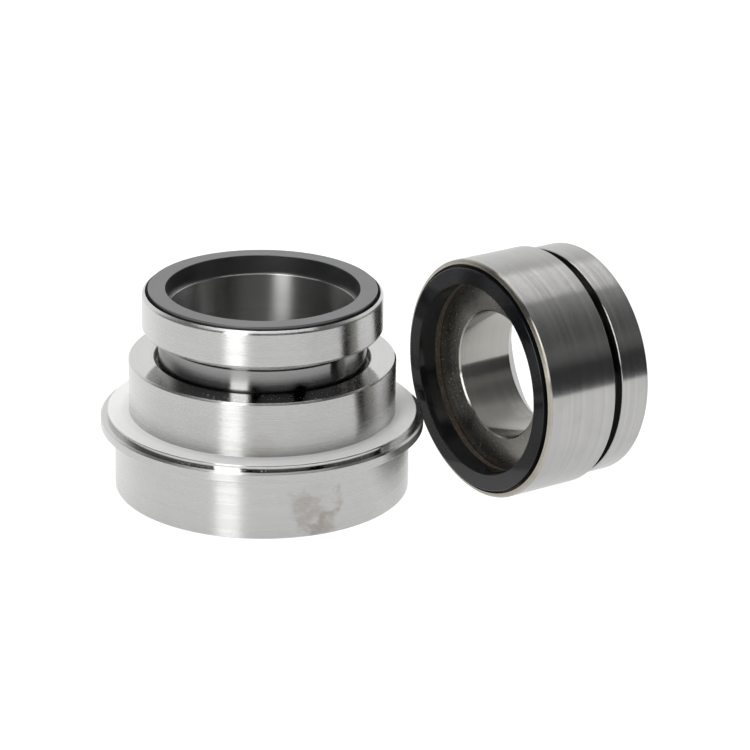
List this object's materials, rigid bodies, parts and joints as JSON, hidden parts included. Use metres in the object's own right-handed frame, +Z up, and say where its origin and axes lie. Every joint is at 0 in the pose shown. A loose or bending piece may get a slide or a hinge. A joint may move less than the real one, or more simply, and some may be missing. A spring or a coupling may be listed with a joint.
{
  "type": "component mechanical seal",
  "caption": "Component mechanical seal as two loose halves: a sprung stationary head standing on its base and a rotary mating unit lying on its side beside it.",
  "frame": {"origin": "centre of the stationary head's base", "axes": "+Z up along the head's axis towards its lapped face; +X from the head towards the rotary unit that lies beside it; the viewer of the picture stands on the -Y side"},
  "size_m": [0.2625, 0.1562, 0.1166],
  "materials": {
    "housing_steel": "turned stainless steel, fine rings, polished top face",
    "holder_steel": "turned stainless steel, polished bore",
    "rotor_steel": "turned stainless steel with light handling marks",
    "plate_steel": "turned stainless steel",
    "pin_steel": "ground stainless steel",
    "screw_steel": "plain stainless steel",
    "snap_steel": "spring steel strip",
    "spring_steel": "drawn spring wire",
    "face_black": "lapped black silicon carbide",
    "rotary_black": "lapped black silicon carbide",
    "cup_brown": "brown fluoroelastomer",
    "oring_rubber": "black elastomer",
    "backup_white": "white PTFE"
  },
  "bodies": {
    "stationary_parts": {"housing": "housing_steel", "back_plate": "plate_steel", "plate_screws": "screw_steel", "drive_pins": "pin_steel", "slide_oring": "oring_rubber", "backup_ring": "backup_white", "spring_1": "spring_steel", "spring_2": "spring_steel", "spring_3": "spring_steel", "spring_4": "spring_steel", "spring_5": "spring_steel", "spring_6": "spring_steel", "spring_7": "spring_steel", "spring_8": "spring_steel", "rotary_body": "rotor_steel", "rotary_ring": "rotary_black", "seat_cup": "cup_brown", "rear_oring": "oring_rubber"},
    "floating_head": {"face_holder": "holder_steel", "face_ring": "face_black", "face_ring_oring": "oring_rubber", "ring_lock_pin": "pin_steel", "thrust_ring": "plate_steel", "retaining_ring": "snap_steel"}
  },
  "joints": [
    {"name": "head_float", "type": "slide", "parent": "stationary_parts", "child": "floating_head", "axis": [0, 0, 1], "range_m": [-0.006, 0], "stiffness_N_per_m": 50000, "springref_m": 0.006, "deforming": ["spring_1", "spring_2", "spring_3", "spring_4", "spring_5", "spring_6", "spring_7", "spring_8"]}
  ]
}
